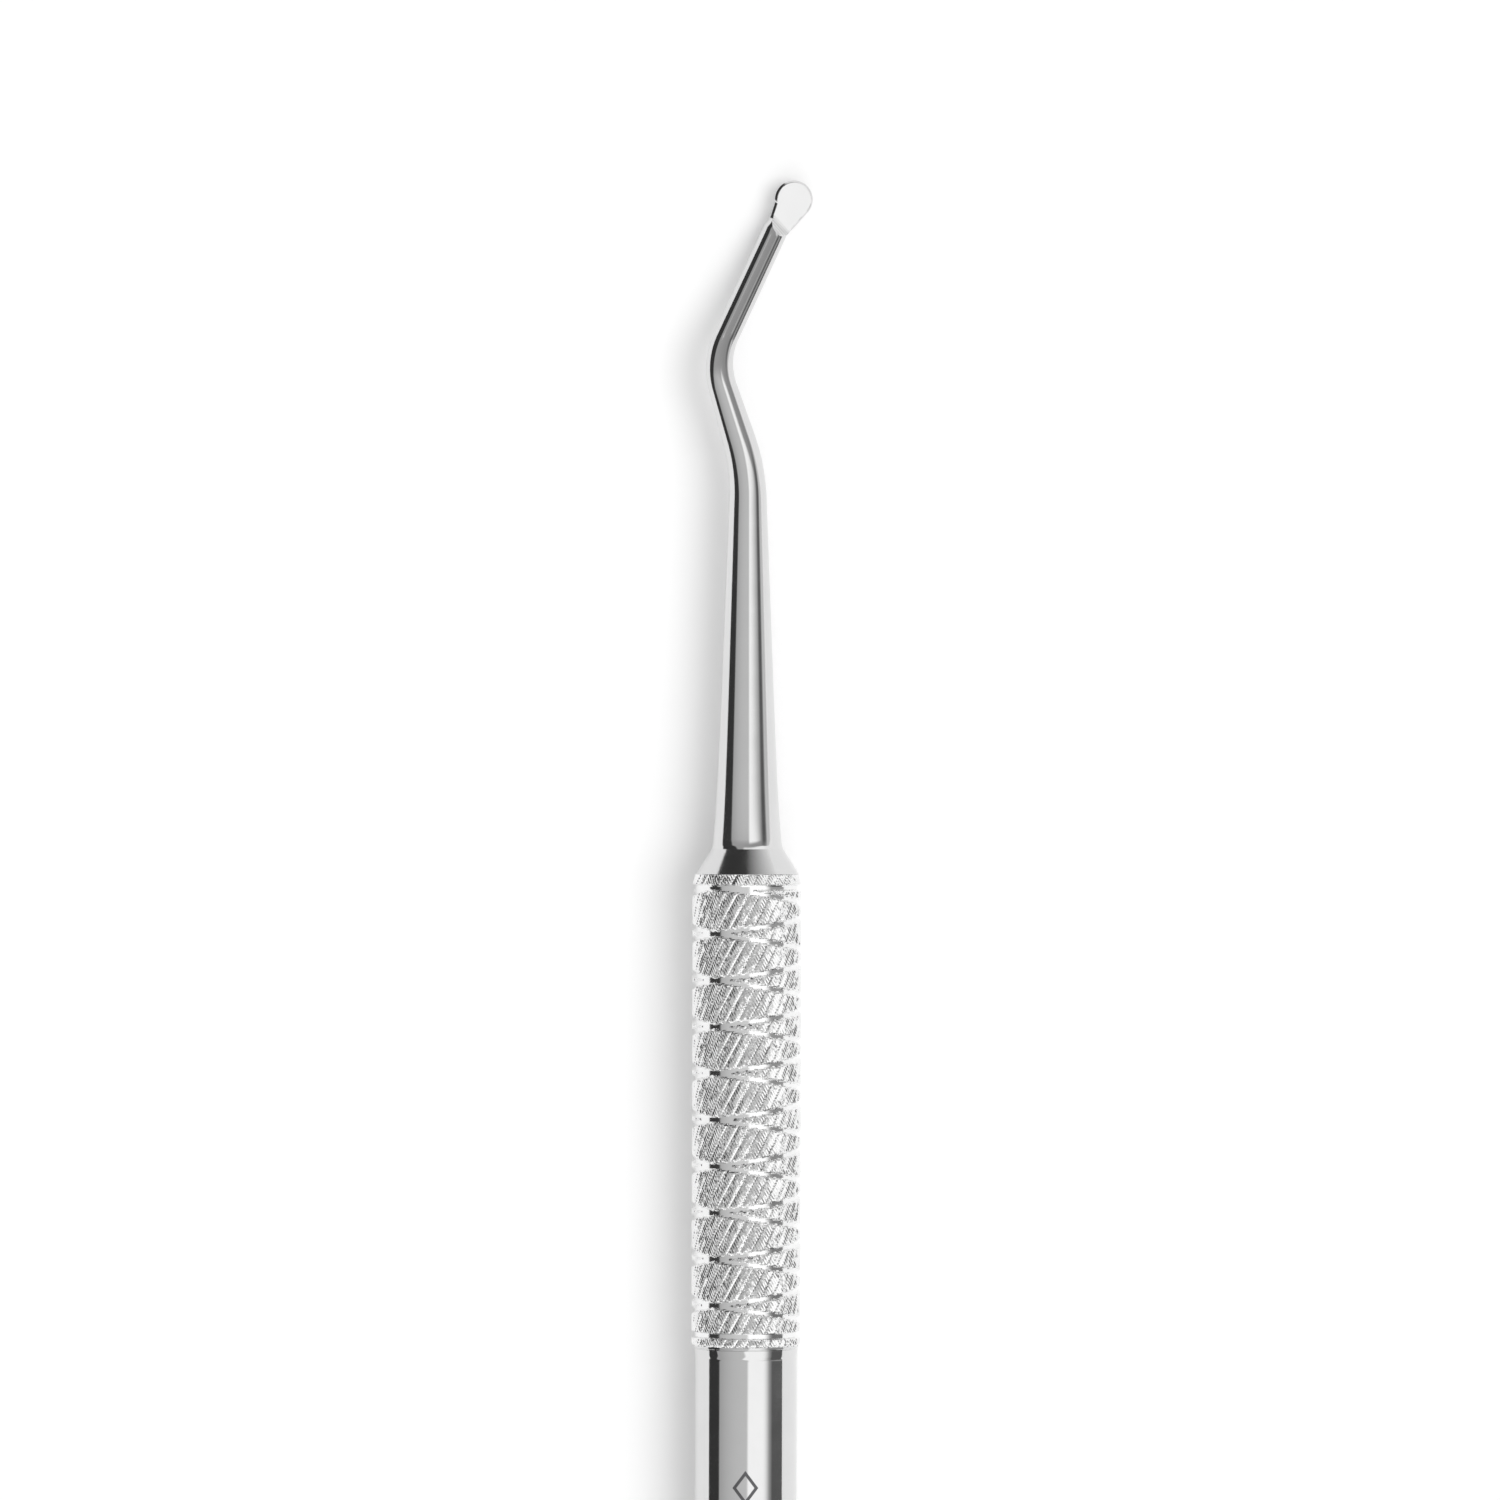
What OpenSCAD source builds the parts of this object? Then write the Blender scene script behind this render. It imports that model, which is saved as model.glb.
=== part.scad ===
// Double-ended dental hand instrument: a knurled hollow handle with a bent working end at each end.
// The handle lies along Y, its axis through the origin. The front end points to +Y, with its blade face up.

/* [Handle] */
// Length of the handle tube between its two end cones
handle_length = 94; // [80:1:110]
// Diameter over the knurled grips
grip_d = 6.38; // [6.3:0.02:7.5]
// Length of each knurled grip, its lead-in chamfer included
grip_length = 27.4; // [20:0.2:34]
// Diameter of the plain barrel between the grips
barrel_d = 6; // [5.6:0.05:6.1]
// Bore of the handle tube
bore_d = 4.8; // [4:0.1:5]

/* [End cones] */
// Length of the cone outside the handle
cone_length = 1.48; // [1:0.02:4]
// Diameter of the seat where a shank stands on its cone
seat_d = 4.25; // [4.1:0.01:4.8]
// Length of the spigot that is pressed into the handle
spigot_length = 8; // [5:0.5:12]
// Radial gap left between the pressed pieces
fit_gap = 0.01; // [0.005:0.005:0.03]

/* [Shank] */
// Diameter of the tang that is fixed in the cone
tang_d = 2.8; // [2:0.1:3.2]
// Diameter of the terminal shank beside the blade
neck_d = 1.46; // [1.2:0.02:1.8]
// Loss of diameter for each millimetre of shank
taper = 0.0775; // [0.06:0.0025:0.09]
// Length of the straight shank before the first bend
straight_1 = 20.4; // [16:0.2:24]
// Angle of the first bend, to the left
bend_1 = 17.5; // [5:0.5:25]
// Radius of the first bend
bend_radius_1 = 11.5; // [8:0.5:15]
// Length of the shank between the bends
straight_2 = 3.14; // [2:0.02:5]
// Angle of the second bend, back to the right
bend_2 = 42; // [20:1:60]
// Radius of the second bend
bend_radius_2 = 4.2; // [3.4:0.1:6]
// Length from the second bend to the middle of the blade
straight_3 = 9; // [6:0.1:11]
// Angle at which the terminal shank dips below the handle's plane
dip = 14; // [0:1:16]

/* [Blade] */
// Diameter of the round blade
blade_d = 2.28; // [1.8:0.02:2.6]
// Distance of the blade's middle from the terminal shank's line
blade_offset = 0.21; // [0:0.01:0.3]
// Roll of the blade's face about the terminal shank
blade_roll = 11; // [0:1:25]
// Height of the blade's face over the terminal shank's line
face_height = 0.3; // [0.2:0.01:0.4]
// Depth of the blade's back below that line
back_depth = 0.36; // [0.3:0.02:0.5]

/* [Hidden] */
$fn = 96;

// The handle's profile: a lead-in at each cone and a short run-out from each grip to the plain barrel.
lead_in_d = 6.05;
lead_in_length = 0.58;
grip_bevel = 0.08;
run_out_d = barrel_d + 0.12;
run_out_length = 0.6;
half_handle = handle_length / 2;
grip_end = half_handle - grip_length;
tube_rounding = 0.15;
// Where the tube's turned surface starts, as an angle about the handle's axis.
tube_start = 4.3;

// The shank's arc lengths, from its seat on the cone.
arc_1 = PI * bend_radius_1 * bend_1 / 180;
arc_2 = PI * bend_radius_2 * bend_2 / 180;
bend_1_start = straight_1;
bend_1_end = bend_1_start + arc_1;
bend_2_start = bend_1_end + straight_2;
bend_2_end = bend_2_start + arc_2;
blade_at = bend_2_end + straight_3;
flare_gain = 0.36;
flare_length = 2.2;
fillet_length = 0.32;
shank_lean = bend_2 - bend_1;

// The blade's neck: it spreads from the shank to the disc, and a ground shoulder drops to the face.
blade_r = blade_d / 2;
neck_r = neck_d / 2;
shoulder_at = -1.75;
shoulder_skew = 0.42;
shoulder_slope = 0.9;
neck_right_u = -0.45;
neck_right_x = blade_offset + sqrt(pow(blade_r, 2) - pow(neck_right_u, 2));
neck_right_slope = 0.31;
neck_left_u = -0.62;
neck_left_x = blade_offset - sqrt(pow(blade_r, 2) - pow(neck_left_u, 2));
neck_left_slope = 0.12;
neck_length = 2.1;
neck_start = blade_at - neck_length;

ring_sides = 32;
tip_inset = 8;

// The shank's line: straight, an arc to the left, straight, an arc to the right, straight. From the second
// bend to the blade's neck it also dips, and the blade lies level again.
function along(p, lean, len) = [p[0] + len * sin(lean), p[1] + len * cos(lean)];
function turn_left(p, r, lean, a) =
    [p[0] - r * (cos(lean) - cos(lean - a)), p[1] + r * (sin(lean) - sin(lean - a))];
function turn_right(p, r, lean, a) =
    [p[0] + r * (cos(lean) - cos(lean + a)), p[1] + r * (sin(lean + a) - sin(lean))];
p_1 = [0, bend_1_start];
p_2 = turn_left(p_1, bend_radius_1, 0, bend_1);
p_3 = along(p_2, -bend_1, straight_2);
p_4 = turn_right(p_3, bend_radius_2, -bend_1, bend_2);
function line_at(s) =
    s < bend_1_start ? [0, s]
    : s < bend_1_end ? turn_left(p_1, bend_radius_1, 0, bend_1 * (s - bend_1_start) / arc_1)
    : s < bend_2_start ? along(p_2, -bend_1, s - bend_1_end)
    : s < bend_2_end ? turn_right(p_3, bend_radius_2, -bend_1, bend_2 * (s - bend_2_start) / arc_2)
    : along(p_4, shank_lean, s - bend_2_end);
function level_at(s) =
    s < bend_2_start ? 0
    : s < bend_2_end ? -tan(dip) * pow(s - bend_2_start, 2) / (2 * arc_2)
    : -tan(dip) * (arc_2 / 2 + min(s, neck_start) - bend_2_end);
function lean_at(s) =
    s < bend_1_start ? 0
    : s < bend_1_end ? -bend_1 * (s - bend_1_start) / arc_1
    : s < bend_2_start ? -bend_1
    : s < bend_2_end ? -bend_1 + bend_2 * (s - bend_2_start) / arc_2
    : shank_lean;

// The shank's radius: an even taper, a flare towards the seat and a small fillet on the seat itself.
function taper_r(s) = neck_r + taper * max(0, bend_2_end - s) / 2 + flare_gain * exp(-s / flare_length) / 2;
function shank_r(s) =
    s >= fillet_length ? taper_r(s)
    : taper_r(fillet_length) + (seat_d / 2 - taper_r(fillet_length)) * pow(1 - s / fillet_length, 2);

// The blade's two edges, measured from the shank's line at a distance u from the blade's middle.
function disc_half(u) = sqrt(max(0, pow(blade_r, 2) - u * u));
function waist(u) = neck_left_x - neck_left_slope * (u - neck_left_u);
function right_edge(u) =
    u < neck_right_u ? max(neck_r, neck_right_x + neck_right_slope * (u - neck_right_u))
    : blade_offset + disc_half(u);
function left_edge(u) =
    u < neck_left_u ? -neck_r + (waist(u) + neck_r) * max(0, min(1, (u + neck_length) / 0.5))
    : blade_offset - disc_half(u);
function blend(u) = max(0, min(1, (u + neck_length) / 0.9));
function face_at(u, x) = face_height + shoulder_slope * max(0, shoulder_at - shoulder_skew * x - u);

// One ring of the skin at arc length s, its top cut flat at the face and rolled with the blade.
function section_point(s, a) =
    let (
        u = s - blade_at,
        on_blade = s > neck_start,
        r = shank_r(s),
        right = on_blade ? right_edge(u) : r,
        left = on_blade ? left_edge(u) : -r,
        rim = on_blade ? disc_half(min(blade_r, max(0, u))) / blade_r : 1,
        depth = on_blade ? r + (back_depth * max(0.12, rim) - r) * blend(u) : r,
        x = (right + left) / 2 + (right - left) / 2 * cos(a),
        z = sin(a) > 0 ? min(r * max(0.3, rim) * sin(a), face_at(u, x)) : depth * sin(a)
    )
    [x * cos(blade_roll) + z * sin(blade_roll), z * cos(blade_roll) - x * sin(blade_roll)];
function ring_at(s) =
    let (p = line_at(s), lean = lean_at(s))
    [for (k = [0 : ring_sides - 1])
        let (q = section_point(s, 360 * (k + 0.5) / ring_sides))
        [p[0] + q[0] * cos(lean), p[1] - q[0] * sin(lean), q[1] + level_at(s)]];

// Where the rings stand: close together at the fillet, in the bends and round the blade.
stations = concat(
    [for (k = [0 : 3]) fillet_length * k / 4],
    [for (k = [0 : 7]) fillet_length + (bend_1_start - fillet_length) * pow(k / 8, 1.5)],
    [for (k = [0 : 5]) bend_1_start + arc_1 * k / 6],
    [bend_1_end],
    [for (k = [0 : 9]) bend_2_start + arc_2 * k / 10],
    [bend_2_end, (bend_2_end + neck_start) / 2],
    [for (k = [0 : 11]) neck_start - 0.6 + (2.7 - blade_r) * k / 12],
    [for (k = [0 : 11]) blade_at - blade_r * cos(15 * k)],
    [blade_at + blade_r * cos(tip_inset)]
);

// Closes a row of rings into one skin with flat ends.
module skin(rings) {
    n = ring_sides;
    last = len(rings) - 1;
    polyhedron(
        points = [for (ring = rings) for (p = ring) p],
        faces = concat(
            [[for (k = [n - 1 : -1 : 0]) k]],
            [for (i = [0 : last - 1]) for (k = [0 : n - 1])
                [i * n + k, i * n + (k + 1) % n, (i + 1) * n + k]],
            [for (i = [0 : last - 1]) for (k = [0 : n - 1])
                [i * n + (k + 1) % n, (i + 1) * n + (k + 1) % n, (i + 1) * n + k]],
            [[for (k = [0 : n - 1]) last * n + k]]
        )
    );
}

// A shape turned about Y, from a half profile of [radius, y] points.
module turned(profile) {
    rotate([-90, 0, 0]) rotate_extrude() polygon(profile);
}

// The stainless tube: bored through, with a thick knurled grip at each end and a plain barrel between.
module handle_tube() {
    half = [
        [lead_in_d / 2, half_handle],
        [grip_d / 2, half_handle - lead_in_length],
        [grip_d / 2, grip_end + grip_bevel],
        [run_out_d / 2, grip_end],
        [barrel_d / 2, grip_end - run_out_length]
    ];
    rear = [for (k = [len(half) - 1 : -1 : 0]) [half[k][0], -half[k][1]]];
    ends = [
        [bore_d / 2, -half_handle],
        [bore_d / 2, half_handle]
    ];
    color([0.78, 0.78, 0.79]) rotate([0, tube_start, 0]) turned(concat(half, rear, ends));
}

// The plug that closes a handle end: a cone outside, a pressed spigot inside and a bore for the tang.
module end_cone() {
    spigot_r = bore_d / 2 - fit_gap;
    hole_r = tang_d / 2 + fit_gap;
    color([0.66, 0.66, 0.68]) translate([0, half_handle, 0]) turned([
        [hole_r, -spigot_length],
        [spigot_r - tube_rounding, -spigot_length],
        [spigot_r, -spigot_length + tube_rounding],
        [spigot_r, 0],
        [lead_in_d / 2, 0],
        [seat_d / 2, cone_length],
        [hole_r, cone_length]
    ]);
}

// The forged and ground end: tang, tapered shank with two bends, and a round blade with a flat face.
module working_end() {
    tang_length = spigot_length + cone_length;
    bury = 0.5;
    color([0.62, 0.62, 0.64]) translate([0, half_handle + cone_length, 0]) union() {
        skin([for (s = stations) ring_at(s)]);
        translate([0, -tang_length, 0]) rotate([-90, 0, 0]) cylinder(h = tang_length + bury, d = tang_d);
    }
}

module front_end_cone() {
    end_cone();
}

module rear_end_cone() {
    rotate([0, 0, 180]) end_cone();
}

module front_working_end() {
    working_end();
}

// The other hand of the pair: the same end mirrored face down, then turned end for end.
module rear_working_end() {
    rotate([0, 0, 180]) mirror([0, 0, 1]) working_end();
}

handle_tube();
front_end_cone();
rear_end_cone();
front_working_end();
rear_working_end();
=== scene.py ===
"""A double-ended dental hand instrument in polished stainless steel, lying on a pale studio floor."""

import math

import bmesh
import bpy
import numpy as np
from mathutils import Matrix, Vector


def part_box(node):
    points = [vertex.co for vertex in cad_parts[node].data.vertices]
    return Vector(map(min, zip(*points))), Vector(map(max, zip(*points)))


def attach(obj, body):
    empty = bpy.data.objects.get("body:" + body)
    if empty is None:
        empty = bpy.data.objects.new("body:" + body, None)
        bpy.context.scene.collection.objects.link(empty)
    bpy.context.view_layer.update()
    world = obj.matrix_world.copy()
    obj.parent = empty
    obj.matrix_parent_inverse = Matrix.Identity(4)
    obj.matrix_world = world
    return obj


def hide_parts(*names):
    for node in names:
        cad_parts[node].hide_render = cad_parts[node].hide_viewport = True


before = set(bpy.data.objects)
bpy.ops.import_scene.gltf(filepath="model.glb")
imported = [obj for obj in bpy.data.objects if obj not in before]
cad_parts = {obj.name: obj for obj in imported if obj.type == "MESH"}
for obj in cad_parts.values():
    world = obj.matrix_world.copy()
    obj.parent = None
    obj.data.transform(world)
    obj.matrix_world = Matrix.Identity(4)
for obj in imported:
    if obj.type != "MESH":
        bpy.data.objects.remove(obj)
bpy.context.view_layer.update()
mm = 0.001


# ---------------------------------------------------------------- the knurled grips
# Each end of the stainless handle tube is a knurled grip. A coarse wheel rolled slanting ridges into it,
# a fine wheel crossed them with small serrations, and two helical grooves of opposite hand were turned
# through both and polished. The grip stops in a narrow turned lip beside the plain barrel.
tube_low, tube_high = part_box("handle_tube")
cone_low, cone_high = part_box("front_end_cone")
grip_radius = tube_high.x
grip_length = 27.4 * mm
grip_mouth_radius = cone_high.x
mouth_chamfer = 0.58 * mm
grip_foot_radius = 3.08 * mm
foot_chamfer = 0.1 * mm
bore_radius = 2.4 * mm
ridge_count = 28
ridge_depth = 0.05 * mm
ridge_flank = 0.25
ridge_rise = 0.35
serration_count = 4 * ridge_count
serration_depth = 0.035 * mm
serration_fade = 8
wear_round = 14.0
wear_along = 2600.0
wear_low = 0.25
wear_gain = 2.8
least_share_of_depth = 0.15
groove_lead = 2.695 * mm
groove_first = 3.425 * mm
groove_cross_angle = math.radians(-37)
groove_half_width = 0.2 * mm
groove_wall = 0.07 * mm
groove_depth = 0.155 * mm
end_ring_at = (0.76 * mm, 26.75 * mm)
columns_per_serration = 2
outer_rows = 354
bore_rows = 20
weld_distance = 0.0005 * mm
# A serration runs along a column, and a ridge crosses one column in each row, so both lean by 30 degrees.
lean_per_row = math.tau / (2 * serration_count * columns_per_serration)


def reckon(tree, operation, *values):
    """A math node fed with sockets or plain numbers; gives its result socket."""
    node = tree.nodes.new("ShaderNodeMath")
    node.operation = operation
    for socket, value in zip(node.inputs, values):
        if isinstance(value, bpy.types.NodeSocket):
            tree.links.new(value, socket)
        else:
            socket.default_value = value
    return node.outputs[0]


def knurled_grip_tree():
    """Rolls a flat grid into a closed knurled sleeve: outside, end faces and bore in one skin."""
    tree = bpy.data.node_groups.new("knurled_grip", "GeometryNodeTree")
    sockets = [
        ("Mouth", "NodeSocketFloat"),
        ("Length", "NodeSocketFloat"),
        ("Radius", "NodeSocketFloat"),
        ("Mouth Radius", "NodeSocketFloat"),
        ("Foot Radius", "NodeSocketFloat"),
        ("Bore Radius", "NodeSocketFloat"),
        ("Ridges", "NodeSocketFloat"),
        ("Ridge Depth", "NodeSocketFloat"),
        ("Serrations", "NodeSocketFloat"),
        ("Serration Depth", "NodeSocketFloat"),
        ("Lean Per Row", "NodeSocketFloat"),
        ("Groove Lead", "NodeSocketFloat"),
        ("Groove Depth", "NodeSocketFloat"),
        ("Seed", "NodeSocketFloat"),
        ("Steel", "NodeSocketMaterial"),
    ]
    tree.interface.new_socket(name="Geometry", in_out="INPUT", socket_type="NodeSocketGeometry")
    for name, kind in sockets:
        tree.interface.new_socket(name=name, in_out="INPUT", socket_type=kind)
    tree.interface.new_socket(name="Geometry", in_out="OUTPUT", socket_type="NodeSocketGeometry")
    given = tree.nodes.new("NodeGroupInput").outputs
    link = tree.links.new

    def do(operation, *values):
        return reckon(tree, operation, *values)

    columns = serration_count * columns_per_serration
    rows = outer_rows + bore_rows + 2
    grid = tree.nodes.new("GeometryNodeMeshGrid")
    sizes = {"Size X": 1, "Size Y": 1, "Vertices X": columns + 1, "Vertices Y": rows + 1}
    for name, value in sizes.items():
        grid.inputs[name].default_value = value
    place = tree.nodes.new("ShaderNodeSeparateXYZ")
    link(tree.nodes.new("GeometryNodeInputPosition").outputs[0], place.inputs[0])
    around = do("ADD", place.outputs["X"], 0.5)
    row = do("ROUND", do("MULTIPLY", do("ADD", place.outputs["Y"], 0.5), rows))

    # Down the outside from the mouth, back up through the bore.
    down = do("DIVIDE", row, outer_rows)
    back = do("SUBTRACT", 1, do("DIVIDE", do("SUBTRACT", row, outer_rows + 1), bore_rows))
    share = do("MAXIMUM", do("MINIMUM", down, do("MINIMUM", back, 1)), 0)
    depth = do("MULTIPLY", share, given["Length"])
    in_bore = do(
        "MULTIPLY",
        do("GREATER_THAN", row, outer_rows + 0.5),
        do("LESS_THAN", row, outer_rows + bore_rows + 1.5),
    )
    swing = do("MULTIPLY", do("MULTIPLY", share, outer_rows), given["Lean Per Row"])
    angle = do("ADD", do("MULTIPLY", around, math.tau), swing)

    # The envelope: a chamfer at the mouth, a short one at the foot.
    mouth_rise = do("DIVIDE", do("SUBTRACT", given["Radius"], given["Mouth Radius"]), mouth_chamfer)
    from_mouth = do("MULTIPLY_ADD", depth, mouth_rise, given["Mouth Radius"])
    foot_rise = do("DIVIDE", do("SUBTRACT", given["Radius"], given["Foot Radius"]), foot_chamfer)
    from_foot = do("MULTIPLY_ADD", do("SUBTRACT", given["Length"], depth), foot_rise, given["Foot Radius"])
    envelope = do("MINIMUM", given["Radius"], do("MINIMUM", from_mouth, from_foot))

    # A coarse slanting cut: a steep flank that faces right, a gentler one that faces left, then a flat
    # land. The angle is counted from 20 radians, so that the phase is never negative.
    ridge_turns = do("DIVIDE", given["Ridges"], math.tau)
    ridge_phase = do("FRACT", do("MULTIPLY", do("ADD", do("ADD", angle, swing), 20), ridge_turns))
    falling = do("MINIMUM", do("DIVIDE", ridge_phase, ridge_flank), 1)
    fallen = do("SUBTRACT", 0.5, do("MULTIPLY", do("COSINE", do("MULTIPLY", falling, math.pi)), 0.5))
    risen = do("DIVIDE", do("SUBTRACT", ridge_phase, ridge_flank), ridge_rise)
    risen = do("MAXIMUM", do("MINIMUM", risen, 1), 0)
    ridge_cut = do("MULTIPLY", do("SUBTRACT", fallen, risen), given["Ridge Depth"])
    off_flank = do("ABSOLUTE", do("SUBTRACT", ridge_phase, ridge_flank / 2))
    on_back = do("MINIMUM", do("MULTIPLY", off_flank, serration_fade), 1)

    # A fine serration, deeper in one place than in the next, as a worn wheel leaves it. The 0.01 keeps the
    # columns clear of the step in the phase.
    serration_phase = do("FRACT", do("ADD", do("MULTIPLY", around, given["Serrations"]), 0.01))
    tooth = do("ABSOLUTE", do("SUBTRACT", do("MULTIPLY", serration_phase, 2), 1))
    noise = tree.nodes.new("ShaderNodeTexNoise")
    noise.noise_dimensions = "4D"
    noise.inputs["Scale"].default_value = 1.0
    noise.inputs["Detail"].default_value = 2.0
    link(given["Seed"], noise.inputs["W"])
    spot = tree.nodes.new("ShaderNodeCombineXYZ")
    for socket, value in zip(
        spot.inputs,
        (
            do("MULTIPLY", do("COSINE", angle), wear_round),
            do("MULTIPLY", do("SINE", angle), wear_round),
            do("MULTIPLY", depth, wear_along),
        ),
    ):
        link(value, socket)
    link(spot.outputs[0], noise.inputs["Vector"])
    worn = do("MULTIPLY", do("SUBTRACT", noise.outputs[0], wear_low), wear_gain)
    worn = do("MAXIMUM", worn, least_share_of_depth)
    serration_cut = do("MULTIPLY", do("MULTIPLY", tooth, worn), given["Serration Depth"])
    knurl_cut = do("ADD", ridge_cut, do("MULTIPLY", serration_cut, on_back))

    # The two helical grooves, and the full ring that each of them starts and ends in.
    half_lead = do("MULTIPLY", given["Groove Lead"], 0.5)
    turned = do("MULTIPLY", do("SUBTRACT", angle, groove_cross_angle), 1 / math.tau)
    climb = do("MULTIPLY", do("SUBTRACT", turned, do("ROUND", turned)), given["Groove Lead"])
    from_first = do("SUBTRACT", depth, groove_first)
    gaps = [
        do("ABSOLUTE", do("WRAP", do(way, from_first, climb), half_lead, do("MULTIPLY", half_lead, -1)))
        for way in ("SUBTRACT", "ADD")
    ]
    first_ring, last_ring = end_ring_at
    inside = do("MULTIPLY", do("GREATER_THAN", depth, first_ring), do("LESS_THAN", depth, last_ring))
    helix = do("ADD", do("MINIMUM", *gaps), do("SUBTRACT", 1, inside))
    rings = [do("ABSOLUTE", do("SUBTRACT", depth, at)) for at in end_ring_at]
    nearest = do("MINIMUM", helix, do("MINIMUM", *rings))
    wall = do("DIVIDE", do("SUBTRACT", groove_half_width, nearest), groove_wall)
    wall = do("MAXIMUM", do("MINIMUM", wall, 1), 0)
    groove_cut = do("MULTIPLY", wall, given["Groove Depth"])

    outside = do("SUBTRACT", envelope, do("MAXIMUM", knurl_cut, groove_cut))
    radius = do(
        "ADD",
        do("MULTIPLY", outside, do("SUBTRACT", 1, in_bore)),
        do("MULTIPLY", given["Bore Radius"], in_bore),
    )
    rolled = tree.nodes.new("ShaderNodeCombineXYZ")
    link(do("MULTIPLY", radius, do("SINE", angle)), rolled.inputs["X"])
    link(do("SUBTRACT", given["Mouth"], depth), rolled.inputs["Y"])
    link(do("MULTIPLY", radius, do("COSINE", angle)), rolled.inputs["Z"])
    move = tree.nodes.new("GeometryNodeSetPosition")
    link(grid.outputs["Mesh"], move.inputs["Geometry"])
    link(rolled.outputs[0], move.inputs["Position"])
    close = tree.nodes.new("GeometryNodeMergeByDistance")
    close.inputs["Distance"].default_value = weld_distance
    link(move.outputs[0], close.inputs["Geometry"])
    split = tree.nodes.new("GeometryNodeTriangulate")
    split.quad_method = "SHORTEST_DIAGONAL"
    link(close.outputs[0], split.inputs[0])
    realize = tree.nodes.new("GeometryNodeRealizeInstances")
    link(split.outputs[0], realize.inputs[0])
    coat = tree.nodes.new("GeometryNodeSetMaterial")
    link(realize.outputs[0], coat.inputs["Geometry"])
    link(given["Steel"], coat.inputs["Material"])
    out = tree.nodes.new("NodeGroupOutput")
    link(coat.outputs[0], out.inputs[0])
    return tree


cloud_scale = 900.0
roughness_swing = 0.1


def fine_lines_group():
    """A shader group for finely worked steel: thin lines round the Y axis and a faint cloudiness."""
    group = bpy.data.node_groups.new("worked_steel", "ShaderNodeTree")
    for name, value in (("Line Pitch", 0.00005), ("Line Depth", 0.2), ("Cloud", 0.05), ("Roughness", 0.12)):
        socket = group.interface.new_socket(name=name, in_out="INPUT", socket_type="NodeSocketFloat")
        socket.default_value = value
    tint = group.interface.new_socket(name="Tint", in_out="INPUT", socket_type="NodeSocketColor")
    tint.default_value = (0.7, 0.7, 0.7, 1)
    for name, kind in (("Color", "Color"), ("Roughness", "Float"), ("Height", "Float")):
        group.interface.new_socket(name=name, in_out="OUTPUT", socket_type="NodeSocket" + kind)
    given = group.nodes.new("NodeGroupInput").outputs
    link = group.links.new
    place = group.nodes.new("ShaderNodeTexCoord").outputs["Object"]
    split = group.nodes.new("ShaderNodeSeparateXYZ")
    link(place, split.inputs[0])
    step = group.nodes.new("ShaderNodeCombineXYZ")
    link(reckon(group, "DIVIDE", split.outputs["Y"], given["Line Pitch"]), step.inputs["X"])
    line = group.nodes.new("ShaderNodeTexNoise")
    line.noise_dimensions = "3D"
    line.inputs["Scale"].default_value = 1.0
    line.inputs["Detail"].default_value = 3.0
    link(step.outputs[0], line.inputs["Vector"])
    cloud = group.nodes.new("ShaderNodeTexNoise")
    cloud.inputs["Scale"].default_value = cloud_scale
    cloud.inputs["Detail"].default_value = 4.0
    link(place, cloud.inputs["Vector"])
    drift = reckon(group, "SUBTRACT", cloud.outputs[0], 0.5)
    shade = reckon(group, "MULTIPLY_ADD", reckon(group, "MULTIPLY", drift, given["Cloud"]), 2, 1)
    colour = group.nodes.new("ShaderNodeVectorMath")
    colour.operation = "SCALE"
    link(given["Tint"], colour.inputs[0])
    link(shade, colour.inputs["Scale"])
    grain = reckon(group, "ADD", drift, reckon(group, "SUBTRACT", line.outputs[0], 0.5))
    grain = reckon(group, "MULTIPLY", grain, roughness_swing)
    out = group.nodes.new("NodeGroupOutput")
    link(colour.outputs[0], out.inputs["Color"])
    link(reckon(group, "ADD", given["Roughness"], grain), out.inputs["Roughness"])
    link(reckon(group, "MULTIPLY", line.outputs[0], given["Line Depth"]), out.inputs["Height"])
    return group


worked_steel = fine_lines_group()
crisp_edge = math.radians(34)


def stainless(name, tint, roughness, line_pitch, line_depth, cloud=0.03):
    """Bare stainless steel with its own polish: how rough, and how fine its tool lines are."""
    material = bpy.data.materials.new(name)
    material.use_nodes = True
    tree = material.node_tree
    shader = tree.nodes["Principled BSDF"]
    shader.inputs["Metallic"].default_value = 1.0
    finish = tree.nodes.new("ShaderNodeGroup")
    finish.node_tree = worked_steel
    finish.inputs["Tint"].default_value = (*tint, 1)
    finish.inputs["Line Pitch"].default_value = line_pitch
    finish.inputs["Line Depth"].default_value = line_depth
    finish.inputs["Cloud"].default_value = cloud
    finish.inputs["Roughness"].default_value = roughness
    tree.links.new(finish.outputs["Color"], shader.inputs["Base Color"])
    tree.links.new(finish.outputs["Roughness"], shader.inputs["Roughness"])
    bump = tree.nodes.new("ShaderNodeBump")
    bump.inputs["Strength"].default_value = 0.25
    bump.inputs["Distance"].default_value = 0.002 * mm
    tree.links.new(finish.outputs["Height"], bump.inputs["Height"])
    tree.links.new(bump.outputs[0], shader.inputs["Normal"])
    return material


def shown_piece(name, mesh, material, *stands_for):
    """Makes a mesh a piece: outward normals, crisp edges, its steel, its place on the root body."""
    shape = bmesh.new()
    shape.from_mesh(mesh)
    bmesh.ops.recalc_face_normals(shape, faces=shape.faces)
    shape.to_mesh(mesh)
    shape.free()
    mesh.materials.clear()
    mesh.materials.append(material)
    mesh.shade_smooth()
    mesh.set_sharp_from_angle(angle=crisp_edge)
    piece = bpy.data.objects.new(name, mesh)
    bpy.context.scene.collection.objects.link(piece)
    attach(piece, "root")
    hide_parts(*stands_for)
    return piece


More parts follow.
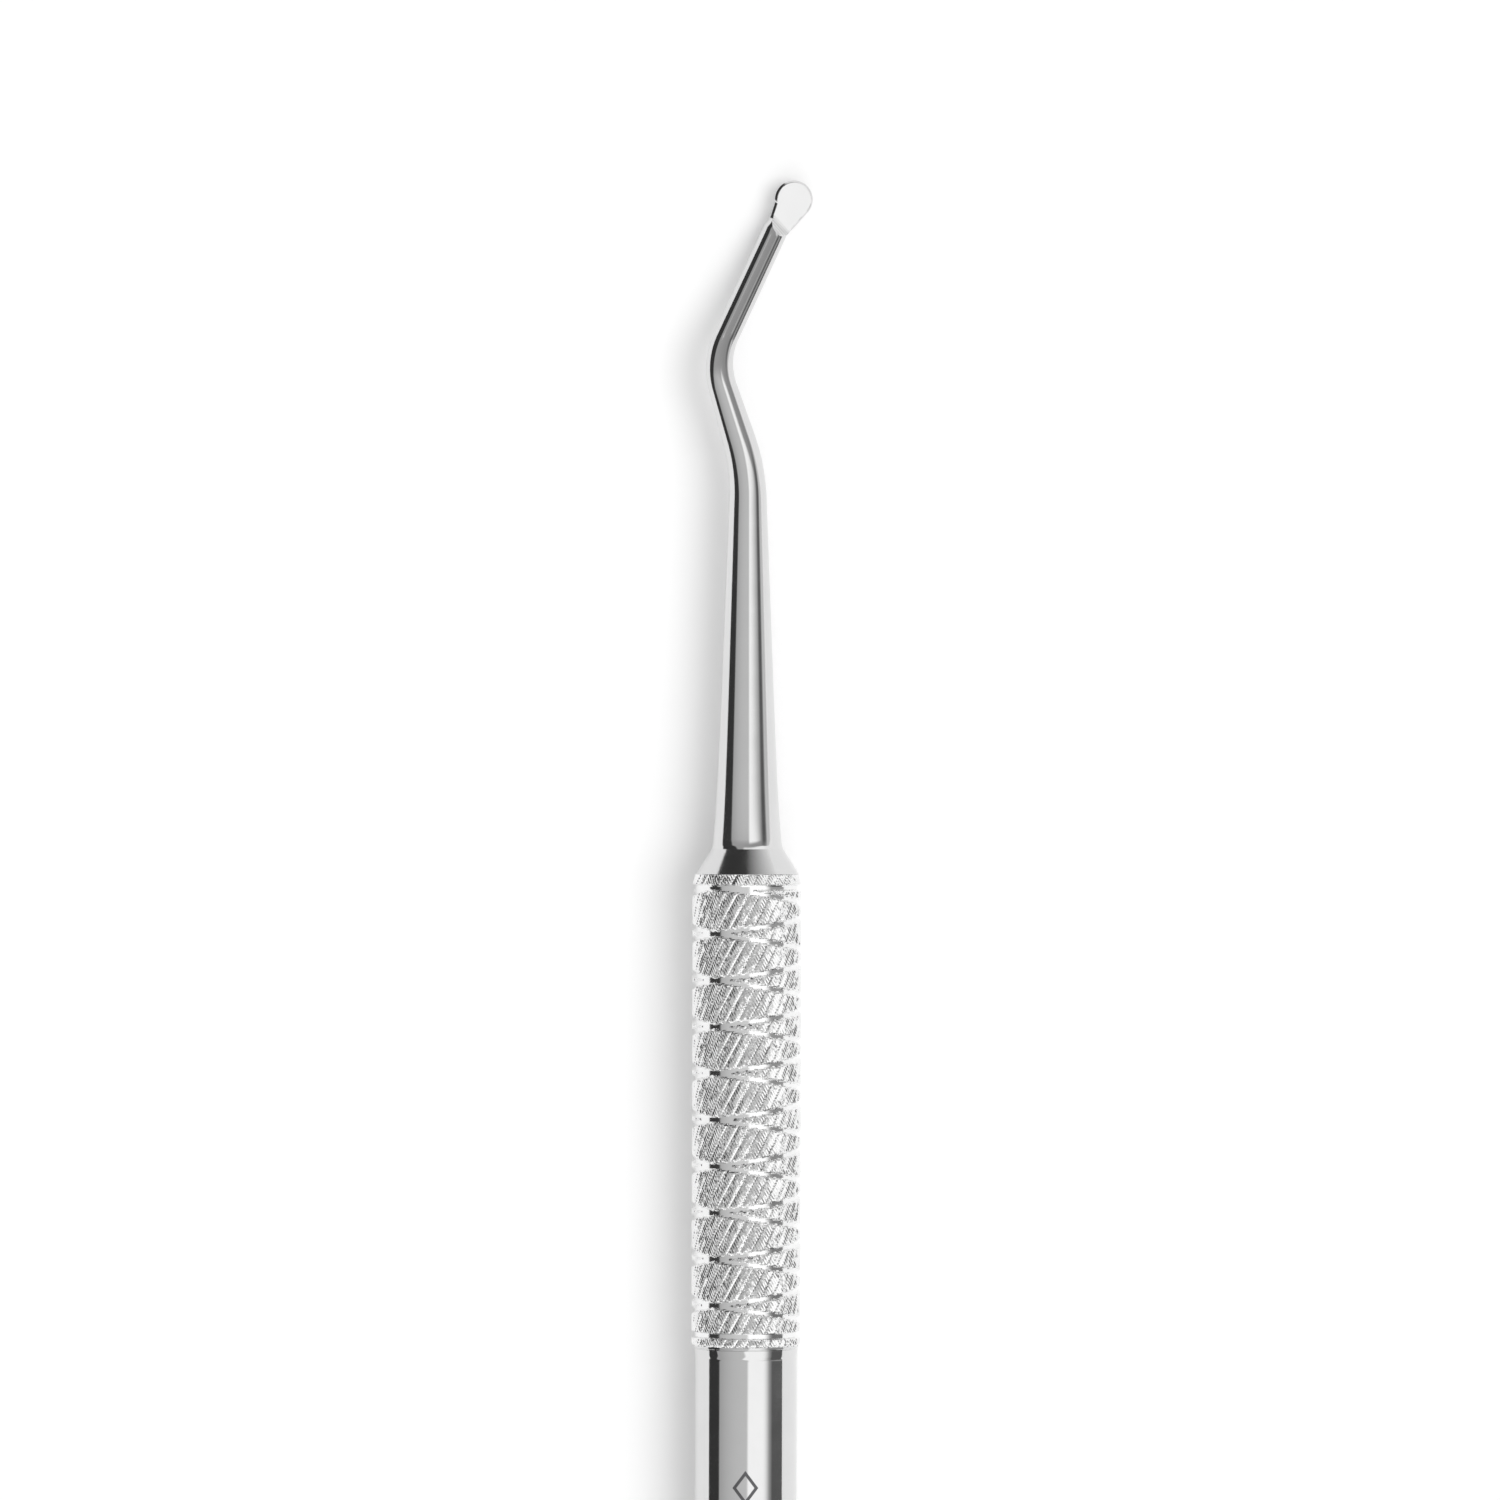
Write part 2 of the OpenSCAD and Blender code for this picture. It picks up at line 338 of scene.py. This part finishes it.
def polish_grooves(material, floor_radius, share):
    """Lowers the roughness where the surface lies as deep as the groove floors."""
    tree = material.node_tree
    roughness = tree.nodes["Principled BSDF"].inputs["Roughness"]
    place = tree.nodes.new("ShaderNodeSeparateXYZ")
    tree.links.new(tree.nodes.new("ShaderNodeTexCoord").outputs["Object"], place.inputs[0])
    squares = [reckon(tree, "POWER", place.outputs[axis], 2) for axis in "XZ"]
    radius = reckon(tree, "POWER", reckon(tree, "ADD", *squares), 0.5)
    deep = reckon(tree, "LESS_THAN", radius, floor_radius)
    worked = roughness.links[0].from_socket
    polish = reckon(tree, "MULTIPLY_ADD", deep, share - 1, 1)
    tree.links.new(reckon(tree, "MULTIPLY", worked, polish), roughness)


# The knurled grip is the same steel as the barrel but gets a lighter tint: painted brightness that stands
# in for the light the knurl catches.
brightened_knurl_steel = stainless("knurled_steel", (0.86, 0.86, 0.86), 0.2, 0.02 * mm, 0.1, cloud=0.1)
polish_grooves(brightened_knurl_steel, grip_radius - 0.8 * groove_depth, 0.5)
grip_tree = knurled_grip_tree()


def knurled_grip(name, seed, end_for_end):
    """Evaluates the grip's node tree into a plain mesh, turned end for end for the rear grip."""
    blank = bpy.data.objects.new(name + "_blank", bpy.data.meshes.new(name + "_blank"))
    bpy.context.scene.collection.objects.link(blank)
    nodes = blank.modifiers.new("knurl", "NODES")
    nodes.node_group = grip_tree
    values = {
        "Mouth": tube_high.y,
        "Length": grip_length,
        "Radius": grip_radius,
        "Mouth Radius": grip_mouth_radius,
        "Foot Radius": grip_foot_radius,
        "Bore Radius": bore_radius,
        "Ridges": float(ridge_count),
        "Ridge Depth": ridge_depth,
        "Serrations": float(serration_count),
        "Serration Depth": serration_depth,
        "Lean Per Row": lean_per_row,
        "Groove Lead": groove_lead,
        "Groove Depth": groove_depth,
        "Seed": seed,
        "Steel": brightened_knurl_steel,
    }
    for socket in grip_tree.interface.items_tree:
        if socket.in_out == "INPUT" and socket.name in values:
            nodes[socket.identifier] = values[socket.name]
    ready = blank.evaluated_get(bpy.context.evaluated_depsgraph_get())
    mesh = bpy.data.meshes.new_from_object(ready)
    blank.modifiers.remove(nodes)
    bpy.data.objects.remove(blank)
    mesh.name = name
    if end_for_end:
        mesh.transform(Matrix.Rotation(math.pi, 4, "Z"))
    piece = shown_piece(name, mesh, brightened_knurl_steel, "handle_tube")
    piece.data.shade_flat()
    return piece


for grip in (knurled_grip("front_grip", 1.0, False), knurled_grip("rear_grip", 7.0, True)):
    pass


# ---------------------------------------------------------------- the plain barrel
# The middle of the same tube, turned down to a plain polished barrel. At each grip it keeps a narrow lip,
# a fine tool groove and a short run-out cone. A small lozenge is etched near the front grip.
barrel_radius = 3.0 * mm
barrel_end = tube_high.y - grip_length
turned_sides = 256
mark_y = 11.5 * mm
mark_half_width = 0.75 * mm
mark_half_length = 1.0 * mm
mark_line = 0.3
etched_tint = (0.16, 0.16, 0.165, 1)
etched_roughness = 0.5


def turned_mesh(name, profile, sides=turned_sides):
    """A closed ring of revolution about Y from an outline of (radius, y) points that runs right round."""
    rings = len(profile)
    turn = np.arange(sides) * math.tau / sides
    points = np.array([[(r * math.sin(t), y, r * math.cos(t)) for t in turn] for r, y in profile])
    faces = [
        (i * sides + k, i * sides + (k + 1) % sides, ((i + 1) % rings) * sides + (k + 1) % sides,
         ((i + 1) % rings) * sides + k)
        for i in range(rings)
        for k in range(sides)
    ]
    mesh = bpy.data.meshes.new(name)
    mesh.from_pydata(points.reshape(-1, 3).tolist(), [], faces)
    return mesh


# From the grip's foot: lip, tool groove, run-out cone, its faint end line, then the plain length. The last
# ring keeps the shading of the plain length straight.
run_out = [
    (0.075 * mm, 0.0),
    (0.08 * mm, 0.1 * mm),
    (0.03 * mm, 0.13 * mm),
    (0.03 * mm, 0.17 * mm),
    (0.055 * mm, 0.2 * mm),
    (0.012 * mm, 0.5 * mm),
    (0.006 * mm, 0.66 * mm),
    (-0.006 * mm, 0.69 * mm),
    (0.0, 0.73 * mm),
    (0.0, 0.78 * mm),
]
front_half = [(barrel_radius + rise, barrel_end - depth) for rise, depth in run_out]
rear_half = [(radius, -y) for radius, y in reversed(front_half)]
barrel_outline = front_half + rear_half + [(bore_radius, -barrel_end), (bore_radius, barrel_end)]

barrel_steel = stainless("barrel_steel", (0.7, 0.7, 0.7), 0.07, 0.05 * mm, 0.5)


def etch_lozenge(material):
    """Darkens and roughens a lozenge-shaped line on the top of the barrel."""
    tree = material.node_tree
    shader = tree.nodes["Principled BSDF"]
    place = tree.nodes.new("ShaderNodeSeparateXYZ")
    tree.links.new(tree.nodes.new("ShaderNodeTexCoord").outputs["Object"], place.inputs[0])
    across = reckon(tree, "DIVIDE", reckon(tree, "ABSOLUTE", place.outputs["X"]), mark_half_width)
    along = reckon(tree, "SUBTRACT", place.outputs["Y"], mark_y)
    along = reckon(tree, "DIVIDE", reckon(tree, "ABSOLUTE", along), mark_half_length)
    size = reckon(tree, "ADD", across, along)
    line = reckon(tree, "GREATER_THAN", size, 1 - mark_line)
    line = reckon(tree, "MULTIPLY", reckon(tree, "LESS_THAN", size, 1.0), line)
    mark = reckon(tree, "MULTIPLY", line, reckon(tree, "GREATER_THAN", place.outputs["Z"], 0.0))
    for name, etched in (("Base Color", etched_tint), ("Roughness", etched_roughness)):
        bare = shader.inputs[name].links[0].from_socket
        mix = tree.nodes.new("ShaderNodeMix")
        mix.data_type = "RGBA" if name == "Base Color" else "FLOAT"
        slots = [s for s in mix.inputs if s.enabled]
        tree.links.new(mark, slots[0])
        tree.links.new(bare, slots[1])
        slots[2].default_value = etched
        tree.links.new([s for s in mix.outputs if s.enabled][0], shader.inputs[name])


etch_lozenge(barrel_steel)
barrel_mesh = turned_mesh("plain_barrel", barrel_outline)
barrel = shown_piece("plain_barrel", barrel_mesh, barrel_steel, "handle_tube")


# ---------------------------------------------------------------- the end cones
# A turned steel plug closes each end of the tube. Its spigot is pressed into the bore, its cone carries on
# the line of the grip's chamfer, and a bore takes the tang of the shank, which stands on its small seat.
seat_radius = 2.125 * mm
cone_base_y = tube_high.y
tang_bore_radius = 1.41 * mm
spigot_radius = 2.39 * mm
spigot_chamfer = 0.15 * mm
edge_break = 0.03 * mm
# The rings one break inside each edge of the cone keep its shading straight.
cone_slope = (cone_high.x - seat_radius) / (cone_high.y - cone_base_y)
cone_outline = [
    (tang_bore_radius, cone_low.y),
    (spigot_radius - spigot_chamfer, cone_low.y),
    (spigot_radius, cone_low.y + spigot_chamfer),
    (spigot_radius, cone_base_y),
    (cone_high.x - edge_break, cone_base_y),
    (cone_high.x, cone_base_y + edge_break),
    (cone_high.x - edge_break * cone_slope, cone_base_y + 2 * edge_break),
    (seat_radius + 2 * edge_break * cone_slope, cone_high.y - 2 * edge_break),
    (seat_radius + edge_break * cone_slope, cone_high.y - edge_break),
    (seat_radius, cone_high.y),
    (tang_bore_radius, cone_high.y),
]
cone_steel = stainless("cone_steel", (0.68, 0.68, 0.68), 0.12, 0.03 * mm, 1.0)
for end, way in (("front", 1), ("rear", -1)):
    outline = [(radius, way * y) for radius, y in cone_outline]
    cone = shown_piece(end + "_cone", turned_mesh(end + "_cone", outline), cone_steel, end + "_end_cone")


# ---------------------------------------------------------------- the working ends
# Each end is one forging of hardened stainless steel: a tang fixed in the cone, a shank that tapers through
# two bends and then dips, and a small round blade. The blade's face was ground flat after polishing, which
# left a stepped shoulder across the neck and a narrow bevel round the rim.
seat_y = cone_high.y
tang_radius = 1.4 * mm
tang_chamfer = 0.1 * mm
neck_radius = 0.73 * mm
taper = 0.0775
flare_gain = 0.36 * mm
flare_length = 2.2 * mm
fillet_length = 0.22 * mm
fillet_power = 1.15
straight_1 = 20.4 * mm
bend_1 = math.radians(17.5)
bend_radius_1 = 11.5 * mm
straight_2 = 3.14 * mm
bend_2 = math.radians(42)
bend_radius_2 = 4.2 * mm
straight_3 = 9.0 * mm
dip = math.radians(14)
dip_ease = 0.35 * mm
blade_radius = 1.126 * mm
blade_offset = 0.198 * mm
neck_length = 2.1 * mm
neck_right_u = -0.45 * mm
neck_right_x = blade_offset + math.sqrt(blade_radius**2 - neck_right_u**2)
neck_right_slope = 0.31
neck_left_u = -0.62 * mm
neck_left_x = blade_offset - math.sqrt(blade_radius**2 - neck_left_u**2)
neck_left_slope = 0.12
blade_roll = math.radians(11)
face_height = 0.3 * mm
back_depth = 0.36 * mm
shoulder_at = -1.75 * mm
shoulder_skew = 0.42
shoulder_slope = 0.9
rim_bevel = 0.12 * mm
rim_slope = math.tan(math.radians(52))
neck_edge_steepness = 6
# Where each line across the shoulder runs, past the shoulder's edge, and how high it stands.
grinding_lines = (
    (-0.25 * mm, 0.012 * mm),
    (-0.1 * mm, 0.02 * mm),
    (0.04 * mm, 0.016 * mm),
    (0.16 * mm, 0.01 * mm),
)
grinding_line_width = 0.035 * mm
ring_sides = 120

arc_1 = bend_radius_1 * bend_1
arc_2 = bend_radius_2 * bend_2
bend_1_end = straight_1 + arc_1
bend_2_start = bend_1_end + straight_2
bend_2_end = bend_2_start + arc_2
blade_at = bend_2_end + straight_3
neck_start = blade_at - neck_length
shaped_from = neck_start - 0.6 * mm


def lean_at(s):
    """How far the shank's line leans from the handle's axis at arc length s, positive to the right."""
    first = min(max(s - straight_1, 0), arc_1) / arc_1
    second = min(max(s - bend_2_start, 0), arc_2) / arc_2
    return second * bend_2 - first * bend_1


def level_at(s):
    """How far the line has sunk: it starts to dip in the second bend and is level again at the blade."""
    if s < bend_2_start:
        return 0.0
    if s < bend_2_end:
        return -math.tan(dip) * (s - bend_2_start) ** 2 / (2 * arc_2)
    run = min(s, neck_start) - max(0.0, dip_ease - abs(s - neck_start)) ** 2 / (4 * dip_ease)
    return -math.tan(dip) * (arc_2 / 2 + run - bend_2_end)


def tapered_radius(s):
    """An even taper and a flare towards the seat."""
    return neck_radius + taper * max(0, bend_2_end - s) / 2 + flare_gain * math.exp(-s / flare_length) / 2


def shank_radius(s):
    """The tapered shank, with a small fillet on the seat itself."""
    if s >= fillet_length:
        return tapered_radius(s)
    foot_radius = tapered_radius(fillet_length)
    return foot_radius + (seat_radius - foot_radius) * (1 - s / fillet_length) ** fillet_power


def smooth(value, low, high):
    """0 below low, 1 above high, and an even curve between them."""
    share = np.clip((value - low) / (high - low), 0, 1)
    return share * share * (3 - 2 * share)


def blade_ring(u, r):
    """The blade's section at distance u past its middle, as x and z: flat face above, curved back below."""
    turn = (np.arange(ring_sides) + 0.5) * math.tau / ring_sides
    half_disc = math.sqrt(max(0.0, blade_radius**2 - u * u))
    right = blade_offset + half_disc
    left = blade_offset - half_disc
    if u < neck_right_u:
        right = max(neck_radius, neck_right_x + neck_right_slope * (u - neck_right_u))
    if u < neck_left_u:
        waist_x = neck_left_x - neck_left_slope * (u - neck_left_u)
        left = waist_x + (-neck_radius - waist_x) * (1 - smooth(u, -neck_length, -1.6 * mm))
    middle, half = (right + left) / 2, max((right - left) / 2, 1e-9)
    across = np.cos(turn)
    x = middle + half * across
    on_blade = smooth(u, -neck_length, -1.3 * mm)
    waist = on_blade * (face_height - rim_bevel * rim_slope)
    rim = math.sqrt(max(0.0, 1 - (max(u, 0) / blade_radius) ** 2))
    to_edge = np.minimum(right - x, x - left)
    if u > 0:
        to_edge = np.minimum(to_edge, blade_radius - np.hypot(u, x - blade_offset))
    steep = rim_slope + neck_edge_steepness * (1 - smooth(u, -1.95 * mm, -1.5 * mm))
    bevel = waist + np.maximum(to_edge, 0) * steep
    round_top = waist + (r - waist * 0.5) * np.sqrt(np.maximum(0, 1 - across**2))
    edge_line = shoulder_at - shoulder_skew * x
    shoulder = np.maximum(0, edge_line - u)
    cut = face_height + shoulder_slope * shoulder
    for past, high in grinding_lines:
        cut = cut + high * np.exp(-(((u - edge_line - past) / grinding_line_width) ** 2))
    top = np.minimum(np.minimum(round_top, cut), bevel)
    deep = r + (back_depth * max(0.1, rim) + waist - r) * on_blade
    below = waist - deep * np.sqrt(np.maximum(0, 1 - across**2))
    z = np.where(np.sin(turn) > 0, np.maximum(top, waist), below)
    return x, z


def shank_ring(r):
    """A round section of radius r, as x and z."""
    turn = (np.arange(ring_sides) + 0.5) * math.tau / ring_sides
    return r * np.cos(turn), r * np.sin(turn)


def working_end_mesh(name, other_hand):
    """Sweeps tang, shank and blade into one closed skin. The other hand is mirrored through the origin."""
    tang_length = seat_y - cone_low.y
    stations = [-tang_length, -tang_length + tang_chamfer, -0.001 * mm]
    stations += list(np.linspace(0, fillet_length, 9))
    stations += list(np.linspace(fillet_length, straight_1, 60)[1:])
    stations += list(np.linspace(straight_1, bend_1_end, 25)[1:])
    stations += list(np.linspace(bend_1_end, bend_2_start, 8)[1:])
    stations += list(np.linspace(bend_2_start, bend_2_end, 33)[1:])
    stations += list(np.linspace(bend_2_end, shaped_from, 20)[1:])
    stations += list(np.linspace(shaped_from, blade_at - blade_radius, 96)[1:])
    stations += list(blade_at - blade_radius * np.cos(np.linspace(0, math.pi, 110)[1:-1]))

    point, line, last = Vector((0, seat_y)), [], 0.0
    for s in stations:
        middle = lean_at((s + last) / 2)
        point = point + Vector((math.sin(middle), math.cos(middle))) * (s - last)
        line.append(point.copy())
        last = s
    rings = []
    for s, p in zip(stations, line):
        if s < 0:
            x, z = shank_ring(tang_radius - (tang_chamfer if s == stations[0] else 0))
        elif s < shaped_from:
            x, z = shank_ring(shank_radius(s))
        else:
            x, z = blade_ring(s - blade_at, neck_radius)
        lean = lean_at(s)
        across = x * math.cos(blade_roll) + z * math.sin(blade_roll)
        up = z * math.cos(blade_roll) - x * math.sin(blade_roll) + level_at(s)
        rings.append(np.stack([p.x + across * math.cos(lean), p.y - across * math.sin(lean), up], axis=1))
    n, count = ring_sides, len(rings)
    faces = [
        (i * n + k, i * n + (k + 1) % n, (i + 1) * n + (k + 1) % n, (i + 1) * n + k)
        for i in range(count - 1)
        for k in range(n)
    ]
    faces += [tuple(range(n)), tuple((count - 1) * n + k for k in range(n))]
    points = np.concatenate(rings)
    if other_hand:
        points = -points
    mesh = bpy.data.meshes.new(name)
    mesh.from_pydata(points.tolist(), [], faces)
    return mesh


shank_steel = stainless("shank_steel", (0.7, 0.7, 0.7), 0.09, 0.04 * mm, 0.3)
for end, other_hand in (("front", False), ("rear", True)):
    name = end + "_shank_and_blade"
    shank = shown_piece(name, working_end_mesh(name, other_hand), shank_steel, end + "_working_end")


# ---------------------------------------------------------------- the studio
# A plain pale floor under the handle, a world that shows the steel its panels and flags, a broad lamp for
# the soft shadow on the floor, and a camera that looks straight down on the front half of the instrument.
floor_reach = 3.0
floor_mesh = bpy.data.meshes.new("floor")
floor_mesh.from_pydata(
    [(x * floor_reach, y * floor_reach, tube_low.z) for x, y in ((-1, -1), (1, -1), (1, 1), (-1, 1))],
    [],
    [(0, 1, 2, 3)],
)
floor = bpy.data.objects.new("floor", floor_mesh)
bpy.context.scene.collection.objects.link(floor)
paper = bpy.data.materials.new("pale_paper")
paper.use_nodes = True
paper_shader = paper.node_tree.nodes["Principled BSDF"]
paper_shader.inputs["Base Color"].default_value = (0.93, 0.93, 0.93, 1)
paper_shader.inputs["Roughness"].default_value = 1.0
paper_shader.inputs["Specular IOR Level"].default_value = 0.0
paper_shader.inputs["Emission Color"].default_value = (1, 1, 1, 1)
paper_shader.inputs["Emission Strength"].default_value = 0.175
floor_mesh.materials.append(paper)


ceiling_left, ceiling_right = 0.43, 0.35
overhead_left, overhead_right = 0.46, 0.68
low_dark, low_glow = 0.12, 0.7
panel_light = 1.24
far_dark, far_gain, far_most = 0.1, 0.9, 1.05
strip_light = 1.15
flag_dark = 0.045


def studio_light():
    """The studio as a world: panels and flags placed by direction, and a plain white backdrop behind."""
    world = bpy.data.worlds.new("studio")
    world.use_nodes = True
    tree = world.node_tree
    tree.nodes.clear()
    link = tree.links.new

    def do(operation, *values):
        return reckon(tree, operation, *values)

    def ramp(value, low, high):
        node = tree.nodes.new("ShaderNodeMapRange")
        node.interpolation_type = "SMOOTHSTEP"
        for socket, given in zip(node.inputs, (value, low, high, 0.0, 1.0)):
            if isinstance(given, bpy.types.NodeSocket):
                link(given, socket)
            else:
                socket.default_value = given
        return node.outputs[0]

    def mixed(below, above, share):
        return do("ADD", below, do("MULTIPLY", do("SUBTRACT", above, below), share))

    # Where a ray meets a level ceiling one unit up: x to the right, y towards the front blade.
    ray = tree.nodes.new("ShaderNodeSeparateXYZ")
    link(tree.nodes.new("ShaderNodeTexCoord").outputs["Generated"], ray.inputs[0])
    height = do("MAXIMUM", ray.outputs["Z"], 0.02)
    x = do("DIVIDE", ray.outputs["X"], height)
    y = do("DIVIDE", ray.outputs["Y"], height)

    # The ceiling: mid grey, lighter overhead and towards the handle, dark low on the right, and lighter
    # again near the horizon there.
    azimuth = do("DIVIDE", y, do("MAXIMUM", do("ABSOLUTE", x), 0.05))
    overhead = do("SUBTRACT", 1, ramp(y, 0.12, 0.36))
    overhead = do("MULTIPLY", overhead, do("SUBTRACT", 1, ramp(x, 0.6, 1.5)))
    ceiling = mixed(
        mixed(ceiling_left, ceiling_right, ramp(x, -0.6, 0.9)),
        mixed(overhead_left, overhead_right, ramp(x, -1.9, 0.1)),
        overhead,
    )
    brought_in = do("MULTIPLY", do("MINIMUM", do("MAXIMUM", y, 0.0), 0.09), 4.0)
    spared = do("MULTIPLY", ramp(azimuth, -0.075, -0.045), do("SUBTRACT", 1, ramp(azimuth, 0.03, 0.06)))
    low_right = do("MULTIPLY", do("SUBTRACT", 1, spared), ramp(do("ADD", x, brought_in), 1.4, 1.95))
    low_right = do("MULTIPLY", low_right, do("SUBTRACT", 1, ramp(y, 0.3, 0.8)))
    ceiling = mixed(ceiling, low_dark, low_right)
    glow = do("MULTIPLY", ramp(x, 2.0, 3.3), ramp(azimuth, 0.02, 0.07))
    ceiling = mixed(ceiling, low_glow, glow)

    # The main panel: its right edge first draws in, then runs out again, up to its top.
    below = do("MINIMUM", y, 0.0)
    above = do("MAXIMUM", y, 0.0)
    left_edge = do("MULTIPLY_ADD", below, 0.5, 0.07)
    right_edge = do("MAXIMUM", do("SUBTRACT", 0.72, do("MULTIPLY", above, 7.0)), 0.06)
    right_edge = do("MULTIPLY_ADD", do("MAXIMUM", do("SUBTRACT", y, 0.1), 0.0), 2.5, right_edge)
    panel = do(
        "MULTIPLY",
        ramp(x, left_edge, do("ADD", left_edge, 0.1)),
        do("SUBTRACT", 1, ramp(x, right_edge, do("ADD", right_edge, 0.8))),
    )
    panel = do("MULTIPLY", panel, do("SUBTRACT", 1, ramp(y, 0.24, 0.33)))
    light = mixed(ceiling, panel_light, panel)

    # A second soft panel low beyond the front blade, which grows lighter to the right.
    bearing = do("DIVIDE", x, do("MAXIMUM", y, 0.05))
    far_light = do("MULTIPLY_ADD", do("MAXIMUM", bearing, 0.0), far_gain, far_dark)
    light = mixed(light, do("MINIMUM", far_light, far_most), ramp(y, 1.0, 1.5))

    # Its bright near edge, which shows in the fillet on the seat.
    strip = do("MULTIPLY", ramp(y, 0.7, 0.9), do("SUBTRACT", 1, ramp(y, 1.35, 1.7)))
    strip = do("MULTIPLY", strip, ramp(bearing, -0.35, -0.15))
    strip = do("MULTIPLY", strip, do("SUBTRACT", 1, ramp(bearing, 1.5, 2.2)))
    light = mixed(light, strip_light, strip)

    # The dark flag along the left.
    flag = do("SUBTRACT", y, do("MULTIPLY", do("ADD", x, 1.69), 1.05))
    flag = do("MULTIPLY", ramp(flag, -0.15, 0.1), do("SUBTRACT", 1, ramp(bearing, -0.05, 0.1)))
    light = mixed(light, flag_dark, flag)

    studio = tree.nodes.new("ShaderNodeBackground")
    studio.inputs["Color"].default_value = (1, 1, 1, 1)
    link(light, studio.inputs["Strength"])
    backdrop = tree.nodes.new("ShaderNodeBackground")
    backdrop.inputs["Color"].default_value = (1, 1, 1, 1)
    choose = tree.nodes.new("ShaderNodeMixShader")
    link(tree.nodes.new("ShaderNodeLightPath").outputs["Is Camera Ray"], choose.inputs[0])
    link(studio.outputs[0], choose.inputs[1])
    link(backdrop.outputs[0], choose.inputs[2])
    link(choose.outputs[0], tree.nodes.new("ShaderNodeOutputWorld").inputs[0])
    return world


bpy.context.scene.world = studio_light()

# A broad lamp from the right, which gives the floor its soft shadow and stays out of the reflections.
lamp_data = bpy.data.lights.new("shadow_lamp", "SUN")
lamp_data.energy = 0.9
lamp_data.angle = math.radians(35)
lamp = bpy.data.objects.new("shadow_lamp", lamp_data)
bpy.context.scene.collection.objects.link(lamp)
lamp.rotation_euler = (0, math.radians(28), 0)
lamp.visible_glossy = False
bpy.context.scene.view_settings.view_transform = "Standard"

# The frame shows 87.4 mm of the instrument, from just past the blade to the plain barrel.
frame_width = 87.375 * mm
camera_height = 0.5
frame_centre = Vector((0.157 * mm, 54.24 * mm, 0.0))
frame_roll = math.radians(0.15)
camera_data = bpy.data.cameras.new("camera")
camera_data.sensor_width = 36.0
camera_data.lens = camera_data.sensor_width * camera_height / frame_width
camera_data.clip_start = 0.01
camera = bpy.data.objects.new("camera", camera_data)
bpy.context.scene.collection.objects.link(camera)
camera.location = frame_centre + Vector((0, 0, camera_height))
camera.rotation_euler = (0, 0, frame_roll)
bpy.context.scene.camera = camera
